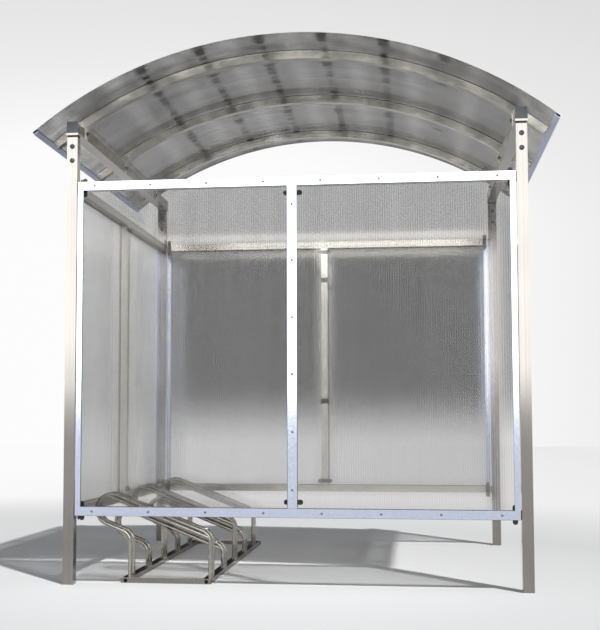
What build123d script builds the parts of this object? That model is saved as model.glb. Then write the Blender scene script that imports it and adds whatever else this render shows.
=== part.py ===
from build123d import *
import math
import os

# Free-standing bike shelter: four square posts carry two eaves beams, three
# bent ribs and a barrel-vault sheet; a sheeted panel closes the front, the rear
# and the left end, and a five-place wheel rack stands inside.
#
# Millimetres, +Z up, +X along the arch towards the open end, -Y at the front.
# The origin is on the ground, in the middle of the overall plan.

# ---- plan and heights -------------------------------------------------------
width = 2120.0              # over the posts, along the arch
depth = 2100.0              # over the posts, front to rear
head_top = 2100.0           # ground to the underside of the eaves beams

# ---- posts and their heads --------------------------------------------------
post_size = 50.0
post_wall = 2.0
foot_plate = 4.0            # closes the post's lower end
head_plate = 10.0           # flange that the beam lies on
head_lip = 3.0              # flange past the post, all round
head_gap = 10.0             # recessed dark neck between post and flange
head_stub = 145.0           # length of the square stub inside the post
stub_wall = 3.0
stub_clearance = 0.3        # stub to the inside of the post, each side

# ---- eaves beams ------------------------------------------------------------
beam_size = 55.0
beam_wall = 2.0
cap_plate = 3.0             # moulded end cap, outside the tube
cap_plug = 12.0             # its plug, inside the tube
plug_clearance = 0.3

# ---- barrel vault -----------------------------------------------------------
roof_radius = 1900.0        # outer face of the roof sheet
roof_overhang = 137.5       # eaves profile past the posts' outer face
roof_length = 2125.0        # along the flutes' crosswise direction, front to rear
roof_front = 106.0          # sheet in front of the posts' front face
roof_sheet = 10.0
rib_size = 40.0
rib_wall = 2.0
rib_first = 124.0           # posts' front face to the first rib's front face
rib_pitch = 798.0
rib_count = 3
rib_bearing = 1.2           # rib's underside over the beam, at the beam's inner side
rib_seat = 0.3              # rib to sheet, and profile to sheet
eave_profile = 26.0         # how far the profile reaches in over the sheet
eave_wall = 1.5
eave_end_gap = 2.0          # sheet edge to the profile's web
rib_end_gap = 0.8           # rib end to the eaves profile
cleat_width = 30.0
cleat_leg = 34.0
cleat_thick = 4.0

# ---- sheeted panels ---------------------------------------------------------
panel_bottom = 315.0
panel_top = 1866.0
panel_gap = 4.5             # panel to post
strip_height = 40.0         # outside cover strips, also the height of the rails
strip_thick = 3.0
middle_strip = 43.0
strip_joint = 0.5           # between the ends of two cover strips
panel_sheet = 10.0
sheet_joint = 4.0           # between the two sheets, behind the middle strip
edge_width = 25.0           # U profile on each upright edge of the sheets
edge_wall = 1.5
edge_end_gap = 0.5          # sheet edge to the profile's web
rail_wall = 2.0
stile_width = 40.0
clamp_length = 88.0
clamp_width = 23.0
clamp_thick = 4.0
clamp_from_end = 20.0       # panel edge to the centre line of an upright clamp
clamp_overhang = 25.0       # upright clamp past the panel's top or bottom edge
clamp_drop = 26.0           # rail edge to the centre line of a level clamp

# ---- wheel rack -------------------------------------------------------------
rack_front = 100.0          # posts' front face to the rack's front bar
rack_left = 252.0           # posts' left face to the rack's left rail
rack_length = 1834.0
rack_width = 420.0
rail_width = 40.0
rail_height = 22.0
rack_wall = 2.0
bar_depth = 22.0
hoop_tube = 18.0
hoop_wall = 1.5
hoop_first = 10.0           # rear of the front bar to the first hoop's front
hoop_pair = 70.0            # centre to centre, so a tyre fits between
hoop_pitch = 375.0
hoop_places = 5
hoop_low = 90.0             # every second place stands this much lower
hoop_slope = 21.5           # degrees, of the two long runs
hoop_nose = 70.5            # bend radius of the nose
nose_reach = 90.0           # left foot to the centre of the nose, outwards
nose_height = 335.0
foot_bend = 58.0            # bend radius above each foot
stay_gap = 0.3              # long run to the straight stay under it
gusset_thick = 4.0
gusset_run = 80.0           # gusset along the lower run, from its knee
gusset_foot = 42.0          # gusset along the left foot, from the same knee

# ---- places worked out from these -------------------------------------------
right = width / 2
left = -right
front = roof_front - (roof_front + depth + head_lip) / 2
rear = front + depth
post_x = right - post_size / 2
beam_inner = post_x - beam_size / 2
beam_top = head_top + beam_size
post_places = [(-post_x, front + post_size / 2), (post_x, front + post_size / 2),
               (-post_x, rear - post_size / 2), (post_x, rear - post_size / 2)]
post_names = ["front_left", "front_right", "rear_left", "rear_right"]
post_top = head_top - head_plate - head_gap
rail_depth = post_size - strip_thick - panel_sheet      # rails end flush with the posts


def block(x, y, z):
    """A box between two corners, given as (low, high) for each axis."""
    size = [high - low for low, high in (x, y, z)]
    centre = [(low + high) / 2 for low, high in (x, y, z)]
    return Pos(*centre) * Box(*size)


def square_tube(size_x, size_y, height, wall):
    """An upright rectangular tube, open at both ends, standing on Z = 0."""
    outer = Box(size_x, size_y, height, align=(Align.CENTER, Align.CENTER, Align.MIN))
    inner = Box(size_x - 2 * wall, size_y - 2 * wall, height,
                align=(Align.CENTER, Align.CENTER, Align.MIN))
    return outer - inner


def arch(inner, outer, start, end, y):
    """A sector of a ring about the vault's axis; angles from the crown, in degrees."""
    outside = CenterArc((0, 0), outer, 90 - end, end - start)
    inside = CenterArc((0, 0), inner, 90 - end, end - start)
    ends = [Line(outside @ 0, inside @ 0), Line(outside @ 1, inside @ 1)]
    face = make_face([outside, inside, *ends])
    plane = Plane((0, y[1], roof_centre), x_dir=(1, 0, 0), z_dir=(0, -1, 0))
    return extrude(plane * face, amount=y[1] - y[0])


def slot_plate(length, breadth, thick):
    """A flat plate with round ends, lying in XZ, its face at Y = 0 to Y = thick."""
    return extrude(Plane.XZ * SlotOverall(length, breadth), amount=-thick)


# ---- posts ------------------------------------------------------------------
def post():
    """A square tube whose lower end is closed by a welded plate."""
    inside = post_size - 2 * post_wall
    plate = Box(inside, inside, foot_plate, align=(Align.CENTER, Align.CENTER, Align.MIN))
    return square_tube(post_size, post_size, post_top, post_wall) + plate


def post_head():
    """A flange on a square stub that drops into the post."""
    stub_size = post_size - 2 * post_wall - 2 * stub_clearance
    stub_height = head_stub + head_gap
    stub = Pos(0, 0, -head_plate - stub_height) * square_tube(
        stub_size, stub_size, stub_height, stub_wall)
    plate_size = post_size + 2 * head_lip
    plate = Box(plate_size, plate_size, head_plate,
                align=(Align.CENTER, Align.CENTER, Align.MAX))
    return Pos(0, 0, head_top) * (plate + stub)


# ---- eaves beams ------------------------------------------------------------
def beam(side):
    """A square tube along the eaves, lying on two post heads."""
    tube = square_tube(beam_size, beam_size, depth, beam_wall)
    return Pos(side * post_x, front, head_top + beam_size / 2) * Rot(-90, 0, 0) * tube


def beam_cap(side, end):
    """A plug-in cap; end is -1 at the front and +1 at the rear."""
    plug_size = beam_size - 2 * beam_wall - 2 * plug_clearance
    face_y = front if end < 0 else rear
    cap = Box(beam_size, cap_plate, beam_size, align=(Align.CENTER, Align.MIN, Align.CENTER))
    plug = Box(plug_size, cap_plug, plug_size, align=(Align.CENTER, Align.MAX, Align.CENTER))
    turned = Rot(0, 0, 180 if end < 0 else 0) * (cap + plug)
    return Pos(side * post_x, face_y, head_top + beam_size / 2) * turned


# ---- ribs, roof sheet and eaves profiles --------------------------------------
sheet_outer = roof_radius
sheet_inner = roof_radius - roof_sheet
rib_outer = sheet_inner - rib_seat
rib_inner = rib_outer - rib_size
roof_centre = beam_top + rib_bearing - math.sqrt(rib_inner ** 2 - beam_inner ** 2)
roof_top = roof_centre + roof_radius
profile_outer = sheet_outer + rib_seat + eave_wall
profile_inner = sheet_inner - rib_seat - eave_wall
eave_angle = math.degrees(math.asin((right + roof_overhang) / profile_outer))
profile_angle = math.degrees(eave_profile / sheet_outer)
web_angle = math.degrees(eave_wall / sheet_outer)
sheet_angle = eave_angle - web_angle - math.degrees(eave_end_gap / sheet_outer)
rib_angle = eave_angle - profile_angle - math.degrees(rib_end_gap / sheet_outer)
roof_y = (front - roof_front, front - roof_front + roof_length)
rib_fronts = [front + rib_first + number * rib_pitch for number in range(rib_count)]


def rib(rib_front):
    """A bent square tube, cut out over both beams so that it sits down on them."""
    spare = 1.0                 # degrees by which the bore runs out of both ends
    rib_y = (rib_front, rib_front + rib_size)
    bore_y = (rib_y[0] + rib_wall, rib_y[1] - rib_wall)
    tube = arch(rib_inner, rib_outer, -rib_angle, rib_angle, rib_y)
    tube -= arch(rib_inner + rib_wall, rib_outer - rib_wall,
                 -rib_angle - spare, rib_angle + spare, bore_y)
    for side in (-1, 1):
        across = sorted([side * beam_inner, side * (beam_inner + beam_size)])
        tube -= block(across, rib_y, (head_top, beam_top))
    return tube


def eave(side):
    """A U profile that closes the flutes at one eaves edge of the sheet."""
    low = min(side * eave_angle, side * (eave_angle - profile_angle))
    high = max(side * eave_angle, side * (eave_angle - profile_angle))
    solid = arch(profile_inner, profile_outer, low, high, roof_y)
    inner_low = low - 1 if side > 0 else low + web_angle
    inner_high = high - web_angle if side > 0 else high + 1
    return solid - arch(sheet_inner - rib_seat, sheet_outer + rib_seat,
                        inner_low, inner_high, roof_y)


def cleat(side, rib_front):
    """An angle under a rib, against the inner side of a beam."""
    y = (rib_front + (rib_size - cleat_width) / 2, rib_front + (rib_size + cleat_width) / 2)
    angle = math.asin(beam_inner / rib_inner)
    upright = block((beam_inner - cleat_thick, beam_inner), y, (head_top, beam_top))
    arm = arch(rib_inner - rib_seat - cleat_thick, rib_inner - rib_seat,
               math.degrees(angle) - math.degrees(cleat_leg / rib_inner),
               math.degrees(angle) + 1, y)
    arm = arm & block((0, beam_inner), y, (0, roof_top))
    solid = upright + arm
    return solid if side > 0 else mirror(solid, about=Plane.YZ)


# ---- sheeted panels -----------------------------------------------------------
def panel(length):
    """The pieces of one panel, centred on X, outer face at Y = 0, inside at +Y."""
    half = length / 2
    band_low = (panel_bottom, panel_bottom + strip_height)
    band_high = (panel_top - strip_height, panel_top)
    between = (band_low[1], band_high[0])
    sheet_y = (strip_thick, strip_thick + panel_sheet)
    rail_y = (sheet_y[1], sheet_y[1] + rail_depth)
    clamp_y = rail_y[1]

    strips = [block((-half, half), (0, strip_thick), band_low),
              block((-half, half), (0, strip_thick), band_high),
              block((-middle_strip / 2, middle_strip / 2), (0, strip_thick),
                    (between[0] + strip_joint, between[1] - strip_joint))]

    sheet_edge = half - edge_wall - edge_end_gap
    sheets = [block((-sheet_edge, -sheet_joint / 2), sheet_y, (panel_bottom, panel_top)),
              block((sheet_joint / 2, sheet_edge), sheet_y, (panel_bottom, panel_top))]

    edges = []
    for side in (-1, 1):
        outer_x = sorted([side * half, side * (half - edge_width)])
        inner_x = sorted([side * (half - edge_wall), side * (half - edge_width)])
        channel = block(outer_x, (sheet_y[0] - edge_wall, sheet_y[1] + edge_wall), between)
        edges.append(channel - block(inner_x, sheet_y, between))

    rails = []
    for low, high in (band_low, band_high):
        tube = square_tube(high - low, rail_depth, length, rail_wall)
        rails.append(Pos(-half, sum(rail_y) / 2, (low + high) / 2) * Rot(0, 90, 0) * tube)

    stile = Pos(0, sum(rail_y) / 2, between[0]) * square_tube(
        stile_width, rail_depth, between[1] - between[0], rail_wall)

    clamps = []
    upright = Rot(0, 90, 0) * slot_plate(clamp_length, clamp_width, clamp_thick)
    level = slot_plate(clamp_length, clamp_width, clamp_thick)
    clamp_low = panel_bottom - clamp_overhang + clamp_length / 2
    clamp_high = panel_top + clamp_overhang - clamp_length / 2
    for z in (clamp_low, clamp_high):
        for side in (-1, 1):
            clamps.append(Pos(side * (half - clamp_from_end), clamp_y, z) * upright)
    for z in (between[0] + clamp_drop, between[1] - clamp_drop):
        clamps.append(Pos(0, clamp_y, z) * level)

    spacers = []                # pads between the rail ends and the posts
    for z in (band_low, band_high):
        for side in (-1, 1):
            across = sorted([side * half, side * (half + panel_gap)])
            spacers.append(block(across, rail_y, z))

    return {"cover_strips": strips, "sheets": sheets, "edge_profiles": edges,
            "rails": rails, "middle_stile": [stile], "clamp_plates": clamps,
            "spacers": spacers}


# ---- wheel rack ---------------------------------------------------------------
rack_x = (left + rack_left, left + rack_left + rack_width)
rack_y = (front + rack_front, front + rack_front + rack_length)
foot_left = rack_x[0] + rail_width - hoop_tube / 2
foot_right = rack_x[1] - hoop_tube / 2
slope = math.radians(hoop_slope)
outwards = Vector(-math.cos(slope), math.sin(slope))
upwards = Vector(math.sin(slope), math.cos(slope))
nose = Vector(foot_left - nose_reach, nose_height)
lower_run = nose - upwards * hoop_nose
upper_run = nose + upwards * hoop_nose
knee_left = Vector(foot_left, lower_run.Y - (foot_left - lower_run.X) * math.tan(slope))
knee_right = Vector(foot_right, upper_run.Y - (foot_right - upper_run.X) * math.tan(slope))
half_turn = math.radians(90 - hoop_slope) / 2
hoop_plane = Plane((0, 0, 0), x_dir=(1, 0, 0), z_dir=(0, -1, 0))
first_hoop = rack_y[0] + bar_depth + hoop_first + hoop_tube / 2
hoop_spots = [first_hoop + place * hoop_pitch for place in range(hoop_places)]


def hoop(low):
    """A round tube bent in one upright plane: foot, nose, long run, foot.

    A small gusset fills the knee under the nose. The hoop stands at Y = 0, and
    all of it but its two feet is lower by the given amount.
    """
    nose_bend = hoop_nose * 0.999      # leaves the two nose bends a hair apart
    lowered = Vector(0, -low)
    path = FilletPolyline((foot_left, rail_height), knee_left + lowered,
                          lower_run + outwards * hoop_nose + lowered,
                          upper_run + outwards * hoop_nose + lowered,
                          knee_right + lowered, (foot_right, rail_height),
                          radius=[foot_bend, nose_bend, nose_bend, foot_bend])
    foot = Plane((foot_left, 0, rail_height), z_dir=(0, 0, 1))
    tube, bore = [sweep(foot * Circle(radius), path=hoop_plane * path)
                  for radius in (hoop_tube / 2, hoop_tube / 2 - hoop_wall)]

    down = Vector(0, -1)
    inward = (outwards + down).normalized()
    bend_middle = knee_left + inward * foot_bend * (1 / math.cos(half_turn) - 1)
    corners = [knee_left + outwards * gusset_run, bend_middle, knee_left + down * gusset_foot]
    corners = [corner + lowered for corner in corners]
    gusset = extrude(hoop_plane * make_face(Polyline(*corners, close=True)),
                     amount=gusset_thick / 2, both=True)
    return tube + gusset - bore


def stay():
    """A straight tube close under the long run, from the nose to the knee's bend."""
    drop = upwards * (hoop_tube + stay_gap)
    bend_start = foot_bend * math.tan(half_turn)
    ends = [upper_run - drop, knee_right + outwards * bend_start - drop]
    start, end = [Vector(point.X, 0, point.Y) for point in ends]
    ring = Circle(hoop_tube / 2) - Circle(hoop_tube / 2 - hoop_wall)
    return extrude(Plane(start, z_dir=end - start) * ring, amount=(end - start).length)


def rack_rail(low):
    """A rectangular tube along the rack; each hoop stands on its right-hand edge."""
    length = rack_length - 2 * bar_depth
    tube = square_tube(rail_width, rail_height, length, rack_wall)
    start = Pos(low + rail_width / 2, rack_y[0] + bar_depth, rail_height / 2)
    return start * Rot(-90, 0, 0) * tube


def rack_bar(y):
    """A rectangular tube across one end of the rack."""
    tube = square_tube(rail_height, bar_depth, rack_width, rack_wall)
    return Pos(rack_x[0], y + bar_depth / 2, rail_height / 2) * Rot(0, 90, 0) * tube


# ---- the assembly ---------------------------------------------------------------
parts = {}
for name, (x, y) in zip(post_names, post_places):
    parts[f"{name}_post"] = [Pos(x, y, 0) * post()]
parts["post_heads"] = [Pos(x, y, 0) * post_head() for x, y in post_places]
parts["left_eaves_beam"] = [beam(-1)]
parts["right_eaves_beam"] = [beam(1)]
parts["beam_caps"] = [beam_cap(side, end) for side in (-1, 1) for end in (-1, 1)]
for name, rib_front in zip(["front_rib", "middle_rib", "rear_rib"], rib_fronts):
    parts[name] = [rib(rib_front)]
parts["rib_cleats"] = [cleat(side, rib_front) for side in (-1, 1) for rib_front in rib_fronts]
parts["roof_sheet"] = [arch(sheet_inner, sheet_outer, -sheet_angle, sheet_angle, roof_y)]
parts["left_eaves_profile"] = [eave(-1)]
parts["right_eaves_profile"] = [eave(1)]

long_panel = width - 2 * post_size - 2 * panel_gap
end_panel = depth - 2 * post_size - 2 * panel_gap
panel_places = {"front": (long_panel, Pos(0, front, 0)),
                "rear": (long_panel, Pos(0, rear, 0) * Rot(0, 0, 180)),
                "left": (end_panel, Pos(left, (front + rear) / 2, 0) * Rot(0, 0, -90))}
for wall, (length, place) in panel_places.items():
    for piece, solids in panel(length).items():
        parts[f"{wall}_{piece}"] = [place * solid for solid in solids]

parts["rack_left_rail"] = [rack_rail(rack_x[0])]
parts["rack_right_rail"] = [rack_rail(rack_x[1] - rail_width)]
parts["rack_end_bars"] = [rack_bar(rack_y[0]), rack_bar(rack_y[1] - bar_depth)]
parts["rack_stays"] = []
for place, y in enumerate(hoop_spots):
    low = hoop_low * (place % 2)
    parts[f"rack_hoops_{place + 1}"] = [Pos(0, y + step, 0) * hoop(low) for step in (0, hoop_pair)]
    parts["rack_stays"] += [Pos(0, y + step, -low) * stay() for step in (0, hoop_pair)]

os.makedirs("parts", exist_ok=True)
for name, solids in parts.items():
    shape = solids[0] if len(solids) == 1 else Compound(children=solids)
    export_step(shape, f"parts/{name}.step")
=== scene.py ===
import math

import bmesh
import bpy
from mathutils import Euler, Matrix, Vector


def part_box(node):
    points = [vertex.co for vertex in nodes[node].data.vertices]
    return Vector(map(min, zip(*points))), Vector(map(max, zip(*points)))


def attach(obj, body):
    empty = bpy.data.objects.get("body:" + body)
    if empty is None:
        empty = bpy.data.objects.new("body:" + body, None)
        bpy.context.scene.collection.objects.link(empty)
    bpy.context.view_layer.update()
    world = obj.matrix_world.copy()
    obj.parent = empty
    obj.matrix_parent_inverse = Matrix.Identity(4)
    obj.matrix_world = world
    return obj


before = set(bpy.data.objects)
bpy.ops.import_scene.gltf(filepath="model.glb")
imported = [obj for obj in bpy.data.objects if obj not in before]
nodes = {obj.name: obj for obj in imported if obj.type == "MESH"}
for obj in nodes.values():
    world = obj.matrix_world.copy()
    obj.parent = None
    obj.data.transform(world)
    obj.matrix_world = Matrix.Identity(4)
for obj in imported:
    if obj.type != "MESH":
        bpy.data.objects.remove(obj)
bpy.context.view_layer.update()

# ---- Camera and floor --------------------------------------------------------------------
# The shelter stands on a plain pale floor in an open studio. The floor is painted
# board, matt, and runs far out, so that from the front it shows no sharp edge.
camera_data = bpy.data.cameras.new("camera")
camera_data.lens = 69.177
camera_data.sensor_width = 36.0
camera_data.shift_x = 0.0771
camera_data.shift_y = 0.0286
camera_data.clip_end = 200.0
camera = bpy.data.objects.new("camera", camera_data)
bpy.context.scene.collection.objects.link(camera)
camera.location = (0.5433, -6.4529, 0.7495)
camera.rotation_euler = Euler((math.radians(94.145), 0, math.radians(7.609)))
bpy.context.scene.camera = camera
bpy.context.scene.view_settings.view_transform = "Standard"


def linear(hex_colour):
    """The linear value of an sRGB colour such as "#8C8884"."""
    channels = [int(hex_colour[i:i + 2], 16) / 255 for i in (1, 3, 5)]
    return [c / 12.92 if c <= 0.04045 else ((c + 0.055) / 1.055) ** 2.4
            for c in channels] + [1.0]


def add_node(tree, kind, settings=None, inputs=None):
    """Adds a node; an input is a value, or the output socket it is linked to."""
    made = tree.nodes.new(kind)
    for name, value in (settings or {}).items():
        setattr(made, name, value)
    for key, value in (inputs or {}).items():
        if isinstance(value, bpy.types.NodeSocket):
            tree.links.new(value, made.inputs[key])
        else:
            made.inputs[key].default_value = value
    return made


def new_material(name):
    """An empty node material and its tree, ending in a Principled shader."""
    material = bpy.data.materials.new(name)
    material.use_nodes = True
    tree = material.node_tree
    tree.nodes.clear()
    shader = add_node(tree, "ShaderNodeBsdfPrincipled")
    output = add_node(tree, "ShaderNodeOutputMaterial")
    tree.links.new(shader.outputs[0], output.inputs["Surface"])
    return material, tree, shader


def shade(tree, factor, stops):
    """The colour at a factor, over (place, sRGB hex) stops."""
    made = add_node(tree, "ShaderNodeValToRGB", inputs={"Fac": factor})
    elements = made.color_ramp.elements
    while len(elements) < len(stops):
        elements.new(0.5)
    for element, (place, colour) in zip(elements, stops):
        element.position = place
        element.color = linear(colour)
    return made.outputs["Color"]


def new_object(name, bm, material):
    """Turns a bmesh into an object at the origin, with one material."""
    mesh = bpy.data.meshes.new(name)
    bm.to_mesh(mesh)
    bm.free()
    mesh.materials.append(material)
    made = bpy.data.objects.new(name, mesh)
    bpy.context.scene.collection.objects.link(made)
    return made


# Matt floor paint: near white, greyed outwards from a spot in front of the shelter by painted
# shade, whose edge is made cloudy about 1.4 m across.
floor_size = 60.0
floor_paint, tree, shader = new_material("matt_floor_paint")
place = add_node(tree, "ShaderNodeTexCoord").outputs["Object"]
mottle = add_node(tree, "ShaderNodeTexNoise", inputs={"Vector": place, "Scale": 0.7, "Detail": 3.0})
split = add_node(tree, "ShaderNodeSeparateXYZ", inputs={0: place})
middle = add_node(tree, "ShaderNodeVectorMath", {"operation": "SUBTRACT"},
                  {0: place, 1: (-0.1, -0.9, 0.0)})
reach = add_node(tree, "ShaderNodeVectorMath", {"operation": "LENGTH"}, {0: middle.outputs[0]})
uneven_reach = add_node(tree, "ShaderNodeMath", {"operation": "MULTIPLY_ADD"},
                        {0: mottle.outputs["Fac"], 1: 0.3, 2: reach.outputs["Value"]})
painted_falloff_shade = add_node(tree, "ShaderNodeMapRange", inputs={
    "Value": uneven_reach.outputs[0], "From Min": 0.7, "From Max": 2.7})
tree.links.new(shade(tree, painted_falloff_shade.outputs["Result"], [(0.0, "#E0E0E0"), (1.0, "#CCCCCC")]),
               shader.inputs["Base Color"])
shader.inputs["Roughness"].default_value = 0.9
shader.inputs["Specular IOR Level"].default_value = 0.1

# Far out the floor gives way to the white of the surroundings, greyer on the right.
far_middle = add_node(tree, "ShaderNodeVectorMath", {"operation": "SUBTRACT"},
                      {0: place, 1: (-1.3, -0.1, 0.0)})
far_reach = add_node(tree, "ShaderNodeVectorMath", {"operation": "LENGTH"},
                     {0: far_middle.outputs[0]})
fade = add_node(tree, "ShaderNodeMapRange", {"interpolation_type": "SMOOTHSTEP"},
                {"Value": far_reach.outputs["Value"], "From Min": 2.8, "From Max": 6.2})
side = add_node(tree, "ShaderNodeMapRange", inputs={
    "Value": split.outputs["X"], "From Min": -6.0, "From Max": 12.0})
far_white = shade(tree, side.outputs["Result"],
                  [(0.0, "#FBFBFB"), (0.28, "#F6F6F6"), (0.56, "#EAEAEA"), (1.0, "#F4F4F4")])
white = add_node(tree, "ShaderNodeEmission", inputs={"Color": far_white, "Strength": 1.0})
blend = add_node(tree, "ShaderNodeMixShader", inputs={
    "Fac": fade.outputs["Result"], 1: shader.outputs[0], 2: white.outputs[0]})
tree.links.new(blend.outputs[0], tree.nodes["Material Output"].inputs["Surface"])

bm = bmesh.new()
bmesh.ops.create_grid(bm, x_segments=1, y_segments=1, size=floor_size / 2)
new_object("floor", bm, floor_paint)

# ---- Surroundings and lights -------------------------------------------------------------
# The surroundings are white to the eye, and to steel and sheets, and softer as light. A
# high key light stands to the front right. The softbox in front is seen only by what
# mirrors it.
world = bpy.data.worlds.new("studio")
bpy.context.scene.world = world
world.use_nodes = True
tree = world.node_tree
tree.nodes.clear()
rays = add_node(tree, "ShaderNodeLightPath")
by_eye_or_steel = add_node(tree, "ShaderNodeMath", {"operation": "MAXIMUM"},
                           {0: rays.outputs["Is Camera Ray"], 1: rays.outputs["Is Glossy Ray"]})
seen = add_node(tree, "ShaderNodeMath", {"operation": "MAXIMUM"},
                {0: by_eye_or_steel.outputs[0], 1: rays.outputs["Is Transmission Ray"]})

# The paper is whitest straight behind and a little to the left. It greys outwards and
# upwards, but not downwards.
toward = add_node(tree, "ShaderNodeTexCoord").outputs["Generated"]
offset = add_node(tree, "ShaderNodeVectorMath", {"operation": "SUBTRACT"},
                  {0: toward, 1: (-0.22, 0.97, 0.13)})
level = add_node(tree, "ShaderNodeVectorMath", {"operation": "MAXIMUM"},
                 {0: offset.outputs[0], 1: (-2.0, -2.0, 0.0)})
spread = add_node(tree, "ShaderNodeVectorMath", {"operation": "MULTIPLY"},
                  {0: level.outputs[0], 1: (0.75, 0.4, 1.9)})
paper_reach = add_node(tree, "ShaderNodeVectorMath", {"operation": "LENGTH"},
                       {0: spread.outputs[0]})
paper = shade(tree, paper_reach.outputs["Value"],
              [(0.0, "#FDFDFD"), (0.18, "#FCFCFC"), (0.30, "#ECECEC"), (0.50, "#DADADA")])
shown = add_node(tree, "ShaderNodeBackground", inputs={"Color": paper, "Strength": 1.0})
lit = add_node(tree, "ShaderNodeBackground", inputs={"Color": linear("#F4F6FA"), "Strength": 0.35})
mixed = add_node(tree, "ShaderNodeMixShader", inputs={
    "Fac": seen.outputs[0], 1: lit.outputs[0], 2: shown.outputs[0]})
output = add_node(tree, "ShaderNodeOutputWorld")
tree.links.new(mixed.outputs[0], output.inputs["Surface"])

key = bpy.data.lights.new("key", "SUN")
key.energy = 3.1
key.angle = math.radians(1.5)
lamp = bpy.data.objects.new("key", key)
bpy.context.scene.collection.objects.link(lamp)
lamp.rotation_euler = Vector((0.37, -0.465, 1.0)).to_track_quat("Z", "Y").to_euler()

soft = bpy.data.lights.new("front_softbox", "AREA")
soft.shape = "RECTANGLE"
soft.size, soft.size_y = 16.0, 7.0
softbox_radiance, softbox_low = 2.9, 1.05
soft.energy = softbox_radiance * math.pi * soft.size * soft.size_y
lamp = bpy.data.objects.new("front_softbox", soft)
bpy.context.scene.collection.objects.link(lamp)
lamp.visible_diffuse = False
lamp.visible_transmission = False
lamp.location = (-0.5, -11.0, softbox_low + soft.size_y / 2)
lamp.rotation_euler = Euler((math.radians(90), 0, 0))

# ---- Dark flags --------------------------------------------------------------------------
# Dark flags stand far out all round, with a gap at the rear left, and only what
# shines through the sheets sees them. The cloth hangs in one piece on a round rail.
flag_radius, flag_low, flag_high, fringe = 9.4, 0.32, 7.5, 0.9
gap_start, gap_end = 26, 60             # degrees from straight behind, to the left

# Brushed cotton cloth: black and quite dull, with a nap 30 mm across. It thins out into
# a loose fringe along its lower edge.
black_cloth, tree, shader = new_material("black_molton_cloth")
place = add_node(tree, "ShaderNodeTexCoord").outputs["Object"]
nap = add_node(tree, "ShaderNodeTexNoise", inputs={"Vector": place, "Scale": 33.0})
tree.links.new(shade(tree, nap.outputs["Fac"], [(0.3, "#161616"), (0.7, "#1E1E1E")]),
               shader.inputs["Base Color"])
shader.inputs["Roughness"].default_value = 1.0
shader.inputs["Specular IOR Level"].default_value = 0.0
height = add_node(tree, "ShaderNodeSeparateXYZ", inputs={0: place}).outputs["Z"]
cover = add_node(tree, "ShaderNodeMapRange", {"interpolation_type": "SMOOTHSTEP"},
                 {"Value": height, "From Min": flag_low, "From Max": flag_low + fringe})
tree.links.new(cover.outputs["Result"], shader.inputs["Alpha"])

bm = bmesh.new()
bmesh.ops.create_circle(bm, segments=72, radius=flag_radius)
gap = [vert for vert in bm.verts
       if gap_start < math.degrees(math.atan2(-vert.co.x, vert.co.y)) < gap_end]
bmesh.ops.delete(bm, geom=gap, context="VERTS")
bmesh.ops.translate(bm, verts=bm.verts, vec=(0, 0, flag_low))
cloth = bmesh.ops.extrude_edge_only(bm, edges=bm.edges)
upper = [item for item in cloth["geom"] if isinstance(item, bmesh.types.BMVert)]
bmesh.ops.translate(bm, verts=upper, vec=(0, 0, flag_high - flag_low))
flags = new_object("flags", bm, black_cloth)
flags.visible_camera = False
flags.visible_glossy = False
flags.visible_shadow = False
flags.visible_diffuse = False

# ---- Posts -------------------------------------------------------------------------------
# Four posts of 50 mm square stainless tube, ground along their length and welded to
# a closing plate at the foot. A black rubber ring fills the neck under each head.


def brushed_steel(name, colours, along, roughness, patch=0.4, uneven=0.4):
    """Stainless steel ground along one axis. Grit lines are about 0.1 mm apart and are drawn 4 mm
    apart, to show; patches are painted reflection, lighter and darker where the tube's face is not
    flat."""
    material, tree, shader = new_material(name)
    place = add_node(tree, "ShaderNodeTexCoord").outputs["Object"]
    stretch = [0.6 if axis == along else 240.0 for axis in "XYZ"]
    lines = add_node(tree, "ShaderNodeMapping", inputs={"Vector": place, "Scale": stretch})
    grain = add_node(tree, "ShaderNodeTexNoise", inputs={
        "Vector": lines.outputs[0], "Scale": 1.0, "Detail": 3.0, "Roughness": 0.6})
    cloud = add_node(tree, "ShaderNodeTexNoise", inputs={
        "Vector": place, "Scale": 1.0 / patch, "Detail": 2.0})
    mix = add_node(tree, "ShaderNodeMix", {"data_type": "FLOAT"}, {
        "Factor": uneven, 2: grain.outputs["Fac"], 3: cloud.outputs["Fac"]})
    tree.links.new(shade(tree, mix.outputs[0], [(0.34, colours[0]), (0.66, colours[1])]),
                   shader.inputs["Base Color"])
    spread = add_node(tree, "ShaderNodeMapRange", inputs={
        "Value": mix.outputs[0], "From Min": 0.3, "From Max": 0.7,
        "To Min": roughness + 0.05, "To Max": roughness - 0.04})
    tree.links.new(spread.outputs["Result"], shader.inputs["Roughness"])
    shader.inputs["Metallic"].default_value = 1.0
    bump = add_node(tree, "ShaderNodeBump", inputs={
        "Strength": 0.25, "Distance": 0.0004, "Height": grain.outputs["Fac"]})
    tree.links.new(bump.outputs[0], shader.inputs["Normal"])
    return material


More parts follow.
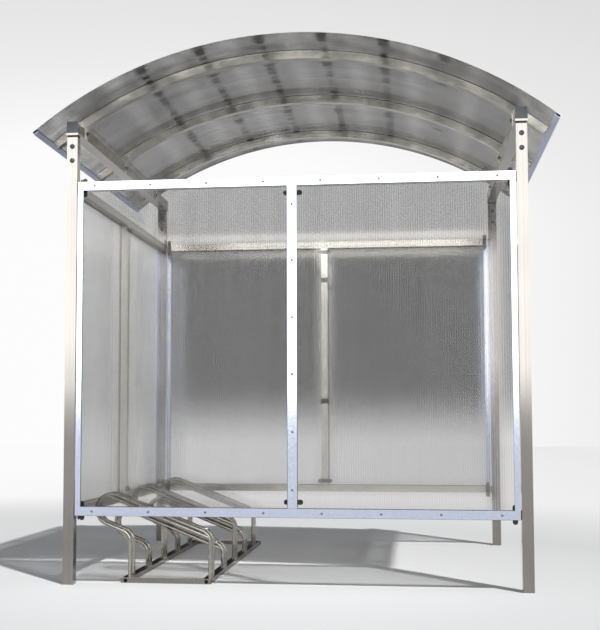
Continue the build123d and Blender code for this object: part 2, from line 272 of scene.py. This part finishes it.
def even_finish(name, colours, grain, roughness, metallic=0.0, bump=0.00005):
    """A moulded, plated or anodised surface, with a fine even grain in metres."""
    material, tree, shader = new_material(name)
    place = add_node(tree, "ShaderNodeTexCoord").outputs["Object"]
    speck = add_node(tree, "ShaderNodeTexNoise", inputs={
        "Vector": place, "Scale": 1.0 / grain, "Detail": 4.0})
    tree.links.new(shade(tree, speck.outputs["Fac"], [(0.3, colours[0]), (0.7, colours[1])]),
                   shader.inputs["Base Color"])
    spread = add_node(tree, "ShaderNodeMapRange", inputs={
        "Value": speck.outputs["Fac"], "From Min": 0.3, "From Max": 0.7,
        "To Min": roughness - 0.015, "To Max": roughness + 0.02})
    tree.links.new(spread.outputs["Result"], shader.inputs["Roughness"])
    shader.inputs["Metallic"].default_value = metallic
    relief = add_node(tree, "ShaderNodeBump", inputs={
        "Strength": 0.3, "Distance": bump, "Height": speck.outputs["Fac"]})
    tree.links.new(relief.outputs[0], shader.inputs["Normal"])
    return material


def dress(names, material):
    """Gives CAD nodes one material."""
    for name in names:
        nodes[name].data.materials.clear()
        nodes[name].data.materials.append(material)


def turned(profile, steps, twist=0.0):
    """A part spun from (radius, height) points in metres; six steps make a hexagon."""
    bm = bmesh.new()
    chain = [bm.verts.new((radius, 0, height)) for radius, height in profile]
    edges = [bm.edges.new(pair) for pair in zip(chain, chain[1:])]
    bmesh.ops.spin(bm, geom=chain + edges, cent=(0, 0, 0), axis=(0, 0, 1),
                   angle=2 * math.pi, steps=steps, use_merge=True)
    bmesh.ops.remove_doubles(bm, verts=bm.verts, dist=1e-6)
    bmesh.ops.recalc_face_normals(bm, faces=bm.faces)
    bmesh.ops.rotate(bm, verts=bm.verts, matrix=Matrix.Rotation(twist, 3, "Z"))
    mesh = bpy.data.meshes.new("turned")
    bm.to_mesh(mesh)
    bm.free()
    return mesh


def put(bm, part, point, toward=(0, 0, 1)):
    """Sets a copy of a turned part on a point, its axis toward a direction."""
    start = len(bm.verts)
    bm.from_mesh(part)
    bm.verts.ensure_lookup_table()
    turn = Vector(toward).to_track_quat("Z", "Y").to_matrix().to_4x4()
    bmesh.ops.transform(bm, matrix=Matrix.Translation(point) @ turn, verts=bm.verts[start:])


def fix(name, bm, material):
    """Makes a bmesh a piece of the shelter, smooth where it bends by less than 40 degrees."""
    piece = new_object(name, bm, material)
    piece.data.shade_smooth()
    piece.data.set_sharp_from_angle(angle=math.radians(40))
    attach(piece, "root")


# Ground stainless steel: a soft long streak of light down each face.
post_steel = brushed_steel("ground_stainless_posts", ("#8A8683", "#94918D"), "Z", 0.14)
dress([n for n in nodes if n.endswith("_post")], post_steel)

post_size = 0.050
post_low, post_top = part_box("front_right_post")
front, rear = post_low[1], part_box("rear_right_post")[1][1]
post_x = (post_low[0] + post_top[0]) / 2
post_spots = [(side * post_x, y) for side in (-1, 1)
              for y in (front + post_size / 2, rear - post_size / 2)]

# Moulded rubber: dark and dull, with a slight bloom.
rubber = even_finish("moulded_epdm_rubber", ("#1F1F1F", "#2A2A2A"), 0.012, 0.62)
neck_outer, neck_inner, neck_height, neck_play = 0.024, 0.0229, 0.0096, 0.0002
corner = math.sqrt(2)                   # a square's corner over its half side
neck_ring = turned([(neck_inner * corner, 0), (neck_outer * corner, 0),
                    (neck_outer * corner, neck_height), (neck_inner * corner, neck_height),
                    (neck_inner * corner, 0)], 4, twist=math.radians(45))
bm = bmesh.new()
for x, y in post_spots:
    put(bm, neck_ring, (x, y, post_top[2] + neck_play))
fix("post_neck_rings", bm, rubber)

# ---- Post heads and their bolts ----------------------------------------------------------
# A 10 mm flange on a square stub that drops into each post, held by two bolts with
# domed heads through the post, each with a washer, and a nut on the inner face.
dress(["post_heads"], post_steel)
bolt_heights = (1.969, 2.036)
dome_bolt = turned([(0, 0.0034), (0.0024, 0.0034), (0.0028, 0.0062), (0.0048, 0.0058),
                    (0.0078, 0.0046), (0.0094, 0.0030), (0.0096, 0.0018), (0.0116, 0.0018),
                    (0.0120, 0.0013), (0.0120, 0), (0, 0)], 20)
nut = turned([(0, 0.0094), (0.0040, 0.0094), (0.0042, 0.0084), (0.0062, 0.0084),
              (0.0075, 0.0076), (0.0075, 0.0016), (0.0062, 0.0016), (0, 0.0016)], 6)
washer = turned([(0, 0.0016), (0.0106, 0.0016), (0.0110, 0.0012), (0.0110, 0), (0, 0)], 20)

# Dull zinc plating over steel: mid grey with a slight sheen.
bolt_zinc = even_finish("dull_zinc_plated_bolts", ("#4A4B4D", "#5C5D5F"), 0.006, 0.38, 1.0)
bm = bmesh.new()
for x, y in post_spots:
    out = -1 if y < 0 else 1
    for z in bolt_heights:
        put(bm, dome_bolt, (x, y + out * post_size / 2, z), (0, out, 0))
        put(bm, washer, (x, y - out * post_size / 2, z), (0, -out, 0))
        put(bm, nut, (x, y - out * post_size / 2, z), (0, -out, 0))
fix("post_head_bolts", bm, bolt_zinc)

# ---- Eaves beams and their caps ----------------------------------------------------------
# Two 55 mm square stainless tubes lie along the eaves on the post heads. A moulded
# grey cap is pressed into each end.

# Ground stainless steel under the roof, a copy painted dim and brownish: painted shade, as nothing
# bright faces it.
beam_steel = brushed_steel("ground_stainless_beams", ("#57524C", "#67625B"), "Y", 0.2)
dress(["left_eaves_beam", "right_eaves_beam"], beam_steel)


def shade_below(material, shade_depth):
    """Painted shade on the faces that look down: it darkens their colour, dimming what they mirror.
    """
    tree = material.node_tree
    shader = tree.nodes["Principled BSDF"]
    unshaded = shader.inputs["Base Color"].links[0].from_socket
    normal = add_node(tree, "ShaderNodeNewGeometry").outputs["Normal"]
    facing = add_node(tree, "ShaderNodeSeparateXYZ", inputs={0: normal}).outputs["Z"]
    painted_shade = add_node(tree, "ShaderNodeMapRange", inputs={
        "Value": facing, "From Min": -0.85, "From Max": -0.45,
        "To Min": shade_depth, "To Max": 1.0}).outputs["Result"]
    shaded_colour = add_node(tree, "ShaderNodeVectorMath", {"operation": "SCALE"},
                      {0: unshaded, "Scale": painted_shade})
    tree.links.new(shaded_colour.outputs[0], shader.inputs["Base Color"])


# Painted shade: the beams' undersides are darkened further.
shade_below(beam_steel, 0.8)

# Moulded polyamide: blue-grey, with the fine spark texture of its mould.
cap_plastic = even_finish("moulded_polyamide_caps", ("#50585C", "#5D666A"), 0.004, 0.5)
dress(["beam_caps"], cap_plastic)

# ---- Ribs and cleats ---------------------------------------------------------------------
# Three ribs of 40 mm square stainless tube, bent to the vault and seated on the beams,
# each held by an angle cleat. A black foam bead runs along both top edges of a rib.

# Bent tube, its colour painted in light and dark 80 mm patches: painted reflection, as from faces
# that are slightly rippled.
rib_steel = brushed_steel("bent_stainless_ribs", ("#8D8B84", "#DAD7CE"), "X", 0.17,
                          patch=0.08, uneven=0.7)
ribs = ["front_rib", "middle_rib", "rear_rib"]
# Painted shade: the ribs' undersides are darkened.
shade_below(rib_steel, 0.32)
dress(ribs + ["rib_cleats"], rib_steel)

vault_axis = Vector((0, 0, 0.605))      # the vault's axis runs along Y at this height
rib_outer, rib_half_angle = 1.8897, math.radians(38.2)
bead_wide, bead_high = 0.0016, 0.0022
bm = bmesh.new()
for rib in ribs:
    rib_low, rib_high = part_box(rib)
    for near, far in ((rib_low[1] - bead_wide, rib_low[1]), (rib_high[1], rib_high[1] + bead_wide)):
        section = [(near, rib_outer - bead_high), (far, rib_outer - bead_high),
                   (far, rib_outer), (near, rib_outer)]
        face = bm.faces.new([bm.verts.new((0, y, radius)) for y, radius in section])
        ring = [face] + list(face.edges) + list(face.verts)
        bmesh.ops.rotate(bm, verts=face.verts, matrix=Matrix.Rotation(-rib_half_angle, 3, "Y"))
        bmesh.ops.spin(bm, geom=ring, cent=(0, 0, 0), axis=(0, 1, 0),
                       angle=2 * rib_half_angle, steps=56)
bmesh.ops.recalc_face_normals(bm, faces=bm.faces)
bmesh.ops.translate(bm, verts=bm.verts, vec=vault_axis)
fix("rib_foam_beads", bm, rubber)

hex_bolt = turned([(0, 0.0068), (0.0056, 0.0068), (0.0074, 0.0060), (0.0075, 0.0016),
                   (0.0062, 0.0016), (0, 0.0016)], 6)
cleat_face, cleat_bolt_height = 1.0035, 2.128
bm = bmesh.new()
for rib in ribs:
    rib_low, rib_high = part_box(rib)
    for side in (-1, 1):
        spot = (side * cleat_face, (rib_low[1] + rib_high[1]) / 2, cleat_bolt_height)
        put(bm, washer, spot, (-side, 0, 0))
        put(bm, hex_bolt, spot, (-side, 0, 0))
fix("cleat_bolts", bm, bolt_zinc)

# ---- Roof sheet and its fixings ----------------------------------------------------------
# One sheet of smoked twin-wall polycarbonate, bent cold over the ribs and screwed to
# them from above through rubber-backed washers, in rows 285 mm apart round the arch.
fixing_pitch, roof_outer = 0.285, 1.900

# Extruded polycarbonate, smoked: it passes about half the light, greyed and streaked.
smoked, tree, shader = new_material("smoked_twin_wall_polycarbonate")
place = add_node(tree, "ShaderNodeTexCoord").outputs["Object"]
split = add_node(tree, "ShaderNodeSeparateXYZ", inputs={0: place})
rise = add_node(tree, "ShaderNodeMath", {"operation": "SUBTRACT"},
                {0: split.outputs["Z"], 1: vault_axis.z})
turn = add_node(tree, "ShaderNodeMath", {"operation": "ARCTAN2"},
                {0: split.outputs["X"], 1: rise.outputs[0]})
along = add_node(tree, "ShaderNodeMath", {"operation": "MULTIPLY"},
                 {0: turn.outputs[0], 1: roof_outer}).outputs[0]
across = split.outputs["Y"]


def product(first, second):
    """Two values multiplied."""
    return add_node(tree, "ShaderNodeMath", {"operation": "MULTIPLY"},
                    {0: first, 1: second}).outputs[0]


def total(first, *others):
    """Values added up."""
    for other in others:
        first = add_node(tree, "ShaderNodeMath", {"operation": "ADD"},
                         {0: first, 1: other}).outputs[0]
    return first


def step_down(value, start, end):
    """One below the start, zero past the end, smooth between."""
    return add_node(tree, "ShaderNodeMapRange", {"interpolation_type": "SMOOTHSTEP"},
                    {"Value": value, "From Min": start, "From Max": end,
                     "To Min": 1.0, "To Max": 0.0}).outputs["Result"]


def away(value, centre):
    """The distance from a centre, either way."""
    moved = total(value, -centre)
    return add_node(tree, "ShaderNodeMath", {"operation": "ABSOLUTE"}, {0: moved}).outputs[0]


def arch_noise(along_scale, across_scale, detail):
    """Noise stretched along the arch or across it; scales are cells to the metre."""
    flat = add_node(tree, "ShaderNodeCombineXYZ", inputs={
        0: product(along, along_scale), 1: product(across, across_scale)})
    return add_node(tree, "ShaderNodeTexNoise", inputs={
        "Vector": flat.outputs[0], "Scale": 1.0, "Detail": detail}).outputs["Fac"]


# Painted reflection and shade, at every row of fixings: there the sheet is darker, in short dashes
# of painted dark reflection, with painted dark spots (washer shadows behind the ribs, reflections
# on the front overhang), and painted facet shade leaves it lighter half way between rows. Painted
# shade darkens bands by the ribs. The front overhang is clearer, with cloudy painted reflection,
# and both ends of the arch are clearer.
row = add_node(tree, "ShaderNodeMath", {"operation": "FRACT"},
               {0: product(along, 1 / fixing_pitch)}).outputs[0]
from_row = product(away(row, 0.5), fixing_pitch)
row_band = step_down(total(from_row, product(arch_noise(3.0, 40.0, 1.0), 0.03)), 0.024, 0.040)
# Painted dark reflection, in short dashes at each row of fixings.
dark_reflection_dashes = add_node(tree, "ShaderNodeMapRange", {"interpolation_type": "SMOOTHSTEP"},
                  {"Value": arch_noise(1.5, 30.0, 0.0), "From Min": 0.51, "From Max": 0.55}
                  ).outputs["Result"]
dark_reflection_dashes = product(product(row_band, dark_reflection_dashes), step_down(away(along, -0.18), 0.63, 0.72))
# Painted dark spots: washer shadows behind the ribs, and reflections on the front overhang.
shadow_and_reflection_spots = total(*[product(step_down(from_row, 0.008, 0.042),
                        step_down(away(across, spot_y), spot_size * 0.3, spot_size * 1.1))
                for spot_y, spot_size in ((-1.070, 0.060), (-0.660, 0.022), (0.258, 0.030))])
shadow_and_reflection_spots = product(shadow_and_reflection_spots, step_down(away(along, 0.0), 0.88, 0.94))
# Painted shade in bands by the ribs.
rib_shade_bands = total(step_down(away(across, -0.155), 0.030, 0.085),
              step_down(away(across, 0.660), 0.030, 0.075))
# Painted facet shade: darker near each row, lighter half way between.
facet_shade = step_down(from_row, 0.065, 0.135)
streaks = total(arch_noise(1.2, 32.0, 2.0), -0.5)
clouds = total(arch_noise(7.0, 9.0, 3.0), -0.5)
overhang = step_down(across, -0.90, -0.86)
crown = step_down(away(along, 0.0), 1.06, 1.18)
smoke = 0.505
alpha = total(smoke, *[product(pattern, weight) for pattern, weight in (
    (dark_reflection_dashes, 0.27), (shadow_and_reflection_spots, 0.26), (rib_shade_bands, 0.07), (facet_shade, 0.075), (streaks, 0.36), (clouds, 0.04),
    (product(overhang, clouds), 0.45), (overhang, -0.09),
    (product(overhang, away(along, 0.0)), 0.08), (along, 0.03), (crown, 0.20))])
tree.links.new(alpha, shader.inputs["Alpha"])
tree.links.new(shade(tree, arch_noise(4.0, 60.0, 2.0), [(0.3, "#161616"), (0.7, "#242424")]),
               shader.inputs["Base Color"])
shader.inputs["Roughness"].default_value = 0.1
shader.inputs["IOR"].default_value = 1.14
shader.inputs["Transmission Weight"].default_value = 1.0
ripple = add_node(tree, "ShaderNodeBump", inputs={
    "Strength": 0.3, "Distance": 0.0006, "Height": arch_noise(1.5, 55.0, 1.0)})
tree.links.new(ripple.outputs[0], shader.inputs["Normal"])
dress(["roof_sheet"], smoked)

roof_screw = turned([(0, 0.0085), (0.0042, 0.0085), (0.0046, 0.0080), (0.0046, 0.0050),
                     (0.0080, 0.0046), (0.0118, 0.0030), (0.0122, 0.0012), (0.0116, 0),
                     (0, 0)], 16)
bm = bmesh.new()
for rib in ribs:
    rib_low, rib_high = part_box(rib)
    for number in range(8):
        angle = (number - 3.5) * fixing_pitch / roof_outer
        toward = Vector((math.sin(angle), 0, math.cos(angle)))
        spot = vault_axis + toward * roof_outer + Vector((0, (rib_low[1] + rib_high[1]) / 2, 0))
        put(bm, roof_screw, spot, toward)
fix("roof_screws", bm, bolt_zinc)

# ---- Eaves profiles ----------------------------------------------------------------------
# An extruded U of anodised aluminium closes the flutes at each eaves edge of the sheet.
# It is cut to the sheet's length and pushed on over the edge.

# Satin anodising: pale blue-grey, with a haze that spreads reflections.
eaves_aluminium = even_finish("satin_anodised_eaves", ("#A3A8BF", "#B0B5CA"), 0.012, 0.36, 1.0)
dress(["left_eaves_profile", "right_eaves_profile"], eaves_aluminium)

# ---- Panel frames, clamps and spacers ----------------------------------------------------
# Each wall has two stainless rails and a middle stile behind its sheets. Black nylon
# pads fill the gaps to the posts, and bolted black plates clamp the frame together.

# Ground stainless steel, a copy painted brighter than the posts: painted light for the open floor
# that rails and stiles mirror.
rail_steel = brushed_steel("ground_stainless_rails", ("#BAB6AF", "#D8D4CB"), "X", 0.18)
# Painted shade: the rails' undersides are darkened.
shade_below(rail_steel, 0.5)
dress(["front_rails", "rear_rails"], rail_steel)
stile_steel = brushed_steel("ground_stainless_stiles", ("#D2CFC8", "#EAE7E0"), "Z", 0.18)
dress(["front_middle_stile", "rear_middle_stile"], stile_steel)

# The left end's steel is ground more coarsely: its reflections are blurred and duller.
end_rail_steel = brushed_steel("ground_stainless_end_rails", ("#A8A49C", "#C6C2B8"), "Y", 0.36)
# Painted shade: the end rails' undersides are darkened.
shade_below(end_rail_steel, 0.35)
dress(["left_rails"], end_rail_steel)
end_stile_steel = brushed_steel("ground_stainless_end_stile", ("#B8B4AD", "#D6D2C9"), "Z", 0.36)
dress(["left_middle_stile"], end_stile_steel)

# Moulded nylon: near black, with a soft sheen and fine spark texture.
black_nylon = even_finish("moulded_black_nylon", ("#2B2B2B", "#353535"), 0.004, 0.48)
dress([n for n in nodes if n.endswith("clamp_plates") or n.endswith("spacers")], black_nylon)

# A panel is worked along X with its outer face at Y = 0, then set in its wall.
long_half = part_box("front_cover_strips")[1][0]
end_low, end_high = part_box("left_cover_strips")
walls = {
    "front": (long_half, Matrix.Translation((0, front, 0))),
    "rear": (long_half, Matrix.Translation((0, rear, 0)) @ Matrix.Rotation(math.pi, 4, "Z")),
    "left": ((end_high[1] - end_low[1]) / 2,
             Matrix.Translation((end_low[0], (end_low[1] + end_high[1]) / 2, 0))
             @ Matrix.Rotation(-math.pi / 2, 4, "Z"))}
clamp_face, clamp_inset, clamp_bolts = 0.054, 0.020, 0.030
upright_clamps, level_clamps = (0.334, 1.847), (0.381, 1.800)       # heights
for wall, (half, placing) in walls.items():
    bm = bmesh.new()
    spots = [(side * (half - clamp_inset), z + step) for side in (-1, 1)
             for z in upright_clamps for step in (-clamp_bolts, clamp_bolts)]
    spots += [(step, z) for z in level_clamps for step in (-clamp_bolts, clamp_bolts)]
    for x, z in spots:
        put(bm, washer, (x, clamp_face, z), (0, 1, 0))
        put(bm, hex_bolt, (x, clamp_face, z), (0, 1, 0))
    bm.transform(placing)
    fix(wall + "_clamp_bolts", bm, bolt_zinc)

# ---- Panel sheets ------------------------------------------------------------------------
# Two upright sheets of clear 10 mm twin-wall polycarbonate in each wall. The webs
# between the two skins stand upright, 10.5 mm apart, and show as faint lines.


def clear_twin_wall(name, colours, clearness, across):
    """Extruded polycarbonate: see-through, hazed by its two skins and its webs, and painted greyer
    towards the ground as painted shade."""
    material, tree, shader = new_material(name)
    place = add_node(tree, "ShaderNodeTexCoord").outputs["Object"]
    split = add_node(tree, "ShaderNodeSeparateXYZ", inputs={0: place})
    web_pitch, web_haze, flow_haze = 0.0105, 0.045, 0.08
    phase = add_node(tree, "ShaderNodeMath", {"operation": "MULTIPLY"},
                     {0: split.outputs[across], 1: 2 * math.pi / web_pitch})
    wave = add_node(tree, "ShaderNodeMath", {"operation": "SINE"}, {0: phase.outputs[0]})
    flow = add_node(tree, "ShaderNodeMapping", inputs={
        "Vector": place, "Scale": [14.0, 14.0, 0.5]})
    drawn = add_node(tree, "ShaderNodeTexNoise", inputs={
        "Vector": flow.outputs[0], "Scale": 1.0, "Detail": 3.0})
    webs = add_node(tree, "ShaderNodeMath", {"operation": "MULTIPLY_ADD"},
                    {0: wave.outputs[0], 1: web_haze, 2: 1.0 - clearness - flow_haze / 2})
    haze = add_node(tree, "ShaderNodeMath", {"operation": "MULTIPLY_ADD"},
                    {0: drawn.outputs["Fac"], 1: flow_haze, 2: webs.outputs[0]})
    tree.links.new(haze.outputs[0], shader.inputs["Alpha"])
    # Painted shade: the sheet's colour is greyer towards the ground.
    painted_shade_ramp = add_node(tree, "ShaderNodeMapRange", inputs={
        "Value": split.outputs["Z"], "From Min": 0.4, "From Max": 1.5})
    unshaded = add_node(tree, "ShaderNodeMix", {"data_type": "FLOAT"}, {
        "Factor": 0.3, 2: painted_shade_ramp.outputs["Result"], 3: drawn.outputs["Fac"]})
    tree.links.new(shade(tree, unshaded.outputs[0], [(0.2, colours[0]), (0.8, colours[1])]),
                   shader.inputs["Base Color"])
    shader.inputs["Roughness"].default_value = 0.2
    shader.inputs["IOR"].default_value = 1.2
    shader.inputs["Transmission Weight"].default_value = 1.0
    ridge = add_node(tree, "ShaderNodeBump", inputs={
        "Strength": 0.15, "Distance": 0.0005, "Height": wave.outputs[0]})
    tree.links.new(ridge.outputs[0], shader.inputs["Normal"])
    return material


# Extruded polycarbonate, clear: a pale haze with upright lines, and the far side shows.
dress(["front_sheets", "rear_sheets"], clear_twin_wall(
    "clear_twin_wall_long_panels", ("#B2B2B2", "#BEBEBE"), 0.62, "X"))
dress(["left_sheets"], clear_twin_wall(
    "clear_twin_wall_end_panel", ("#808080", "#FFFFFF"), 0.58, "Y"))

# ---- Cover strips, edge profiles, gaskets and screws -------------------------------------
# Flat anodised aluminium strips hold the sheets along top, bottom and middle, screwed
# through at even steps over black gaskets. U profiles close the sheets' upright edges.

# Bright anodising: pale blue-grey, a nearly clear reflection.
strip_aluminium = even_finish("bright_anodised_strips", ("#C4CBDF", "#CCD2E4"), 0.012, 0.15, 1.0)
dress([n for n in nodes if n.endswith("cover_strips") or n.endswith("edge_profiles")],
      strip_aluminium)

strip_edges = [0.315, 0.355, 1.826, 1.866]      # both level strips' edges, upwards
middle_half, strip_back = 0.0215, 0.0030
gasket_wide, gasket_proud, gasket_bevel = 0.0022, 0.0012, 0.0003
tape_front, tape_back, tape_thick, tape_bevel = 0.0006, 0.0126, 0.0012, 0.0002
edge_profile_room = 0.026
# Screws stand about 264 mm apart along the level strips, and 260 mm apart up the middle.
screw_across = [side * x for side in (-1, 1) for x in (0.132, 0.397, 0.661, 0.925)]
screw_up = [0.439, 0.699, 0.960, 1.219, 1.480, 1.738]
panel_screw = turned([(0, 0.0014), (0.0020, 0.0014), (0.0024, 0.0031), (0.0040, 0.0028),
                      (0.0055, 0.0018), (0.0060, 0.0006), (0.0060, 0), (0, 0)], 14)

# Passivated stainless screws: darker and bluer than the strip they sit in.
screw_steel = even_finish("passivated_stainless_screws", ("#666B7B", "#787D8C"), 0.004, 0.3, 1.0)


def add_bar(bm, low, high, bevel):
    """A straight bar between two corners, its edges eased."""
    size = [b - a for a, b in zip(low, high)]
    middle = [(a + b) / 2 for a, b in zip(low, high)]
    made = bmesh.ops.create_cube(bm, size=1.0, matrix=Matrix.Translation(middle)
                                 @ Matrix.Diagonal((*size, 1.0)))
    edges = list({edge for vert in made["verts"] for edge in vert.link_edges})
    bmesh.ops.bevel(bm, geom=edges, offset=bevel, affect="EDGES", segments=2,
                    profile=0.5, material=-1)


for wall, (half, placing) in walls.items():
    bm = bmesh.new()
    for x in screw_across:
        for z in ((strip_edges[0] + strip_edges[1]) / 2, (strip_edges[2] + strip_edges[3]) / 2):
            put(bm, panel_screw, (x, 0, z), (0, -1, 0))
    for z in screw_up:
        put(bm, panel_screw, (0, 0, z), (0, -1, 0))
    bm.transform(placing)
    fix(wall + "_panel_screws", bm, screw_steel)

    # Gasket edges show round each sheet; tape closes the flutes, top and bottom. The bottom tape is
    # also a dark stand-in for the shade under the bottom strip's edge: painted shade.
    bm = bmesh.new()
    near, far = gasket_proud, strip_back
    for z in (strip_edges[1], strip_edges[2] - gasket_wide):
        for start, end in ((edge_profile_room - half, -middle_half - gasket_wide),
                           (middle_half + gasket_wide, half - edge_profile_room)):
            add_bar(bm, (start, near, z), (end, far, z + gasket_wide), gasket_bevel)
    for start in (-middle_half - gasket_wide, middle_half):
        add_bar(bm, (start, near, strip_edges[1]), (start + gasket_wide, far, strip_edges[2]),
                gasket_bevel)
    for z in (strip_edges[0] - tape_thick, strip_edges[3]):
        add_bar(bm, (-half, tape_front, z), (half, tape_back, z + tape_thick), tape_bevel)
    bm.transform(placing)
    fix(wall + "_gaskets", bm, rubber)

# ---- Rear stile clips --------------------------------------------------------------------
# Two moulded black nylon clips, 30 mm tall, hug the rear wall's middle stile. Each is a
# U that is sprung on from inside the shelter, with its legs towards the sheets.
stile_low, stile_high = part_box("rear_middle_stile")
clip_thick, clip_play, clip_leg, clip_half, clip_bevel = 0.0025, 0.0002, 0.022, 0.015, 0.0006
clip_heights = (0.871, 1.625)
clip_left, clip_right = stile_low[0] - clip_play, stile_high[0] + clip_play
clip_back = stile_low[1] - clip_play
clip_front = clip_back - clip_thick
bm = bmesh.new()
for clip_height in clip_heights:
    bottom, top = clip_height - clip_half, clip_height + clip_half
    add_bar(bm, (clip_left - clip_thick, clip_front, bottom),
            (clip_right + clip_thick, clip_back, top), clip_bevel)
    for start in (clip_left - clip_thick, clip_right):
        add_bar(bm, (start, clip_front, bottom),
                (start + clip_thick, clip_back + clip_leg, top), clip_bevel)
fix("rear_stile_clips", bm, black_nylon)

# ---- Wheel rack --------------------------------------------------------------------------
# Two flat stainless rails between two end bars, bolted through, with five pairs of bent
# round hoops welded on. A straight stay under each long run is welded at both ends.

# Finely ground hoops: nearly a mirror, with thin light and dark lines along the tube.
hoop_steel = brushed_steel("ground_stainless_hoops", ("#827F79", "#B8B5AD"), "Y", 0.06,
                           patch=0.3, uneven=0.3)
dress([n for n in nodes if n.startswith("rack_hoops") or n == "rack_stays"], hoop_steel)

# Coarsely ground rails: duller, and a copy painted darker as painted shade, since they lie low and
# mirror the floor's shade.
rack_steel = brushed_steel("ground_stainless_rack_rails", ("#6F6C68", "#8B8883"), "Y", 0.28)
dress(["rack_left_rail", "rack_right_rail", "rack_end_bars"], rack_steel)

rack_low, rack_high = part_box("rack_end_bars")
rail_edges = [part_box(rail)[1][0] for rail in ("rack_left_rail", "rack_right_rail")]
rail_height, rail_width, bar_depth = 0.022, 0.040, 0.022

# There are two hoops to a place, and the second and fourth places stand lower.
hoop_radius, first_hoop, place_pitch, pair_gap, low_drop = 0.009, -0.8575, 0.375, 0.070, 0.090
hoop_places = [(first_hoop + place_pitch * place + step, low_drop * (place % 2))
               for place in range(5) for step in (0, pair_gap)]

# ---- Rack welds and stay ends ------------------------------------------------------------
# A round bead of weld closes each hoop's foot on its rail. The stays' ends are cut to
# fit, and welded into the hoop's nose and into its right foot.

# Weld metal: heat-tinted grey with a slight ripple.
weld_metal = even_finish("tig_weld_metal", ("#6E6A64", "#8C8780"), 0.003, 0.4, 1.0, bump=0.0003)
weld_bead = turned([(0.0088, 0), (0.0112, 0), (0.0108, 0.0011), (0.0098, 0.0020),
                    (0.0088, 0.0026), (0.0088, 0)], 20)
bm = bmesh.new()
for y, _ in hoop_places:
    for rail_edge in rail_edges:
        put(bm, weld_bead, (rail_edge - hoop_radius, y, rail_height))
fix("rack_foot_welds", bm, weld_metal)

# Each end runs from the stay into the hoop, in X and Z, and stops short of its second point.
stay_ends = [((-0.8479, 0.3836), (-0.8920, 0.4010)), ((-0.4404, 0.2230), (-0.3970, 0.2059))]
stay_short = 0.002
bm = bmesh.new()
for (x_from, z_from), (x_to, z_to) in stay_ends:
    run = Vector((x_to - x_from, 0, z_to - z_from))
    reach = run.length - stay_short
    stay_end = turned([(0, 0), (hoop_radius, 0), (hoop_radius, reach), (0, reach)], 24)
    for y, lower in hoop_places:
        put(bm, stay_end, (x_from, y, z_from - lower), run)
fix("rack_stay_ends", bm, hoop_steel)

# ---- Rack shade strips -------------------------------------------------------------------
# Black strips lie on the rails' tops: painted shade, a dark stand-in for the shade seen there. They
# are cut from flat sheet, and cut away round each hoop's foot.

# Painted shade: almost black, with no shine to speak of.
shade_strip_black = even_finish("black_painted_shade_strips", ("#0B0B0B", "#121212"), 0.003, 0.85)
shade_strip_black.node_tree.nodes["Principled BSDF"].inputs["Specular IOR Level"].default_value = 0.1
shade_strip_play, shade_strip_thick, shade_strip_edge, shade_strip_bevel = 0.0001, 0.0010, 0.0015, 0.0003
foot_room, weld_room = 0.0195, 0.0125
shade_strip_low, shade_strip_top = rail_height + shade_strip_play, rail_height + shade_strip_thick
shade_strip_start, shade_strip_end = rack_low[1] + bar_depth + shade_strip_edge, rack_high[1] - bar_depth - shade_strip_edge
bm = bmesh.new()
for rail_edge in rail_edges:
    inner, outer = rail_edge - foot_room, rail_edge - shade_strip_edge
    add_bar(bm, (rail_edge - rail_width + shade_strip_edge, shade_strip_start, shade_strip_low),
            (inner, shade_strip_end, shade_strip_top), shade_strip_bevel)
    starts = [y + weld_room for y, _ in hoop_places[1::2]]
    ends = [y - weld_room for y, _ in hoop_places[2::2]] + [shade_strip_end]
    for start, end in zip(starts, ends):
        add_bar(bm, (inner, start, shade_strip_low), (outer, end, shade_strip_top), shade_strip_bevel)
fix("rack_shade_strips", bm, shade_strip_black)

# ---- Rack bolts and end plugs ------------------------------------------------------------
# Four domed bolts pass through the end bars into the rails' ends, each with a washer
# under its head. Moulded nylon plugs are pressed into the end bars' open ends.

# Steel blackened by oxide: near black, with a faint metal sheen.
black_oxide = even_finish("black_oxide_bolts", ("#151516", "#202021"), 0.004, 0.5, 1.0)
rack_bolt = turned([(0, 0.0056), (0.0048, 0.0056), (0.0062, 0.0049), (0.0062, 0.0014),
                    (0.0088, 0.0014), (0.0090, 0.0010), (0.0090, 0), (0, 0)], 12)
bm = bmesh.new()
for x in (rack_low[0] + rail_width / 2, rack_high[0] - rail_width / 2):
    put(bm, rack_bolt, (x, rack_low[1], rail_height / 2), (0, -1, 0))
    put(bm, rack_bolt, (x, rack_high[1], rail_height / 2), (0, 1, 0))
fix("rack_bolts", bm, black_oxide)

plug_half, plug_bore, plug_lip, plug_deep, plug_play = 0.0106, 0.0086, 0.0015, 0.009, 0.0001
end_plug = turned([(0, plug_lip), (plug_half * corner, plug_lip), (plug_half * corner, plug_play),
                   (plug_bore * corner, plug_play), (plug_bore * corner, -plug_deep),
                   (0, -plug_deep)], 4, twist=math.radians(45))
bm = bmesh.new()
for y in (rack_low[1] + bar_depth / 2, rack_high[1] - bar_depth / 2):
    put(bm, end_plug, (rack_low[0], y, rail_height / 2), (-1, 0, 0))
    put(bm, end_plug, (rack_high[0], y, rail_height / 2), (1, 0, 0))
fix("rack_end_plugs", bm, black_nylon)
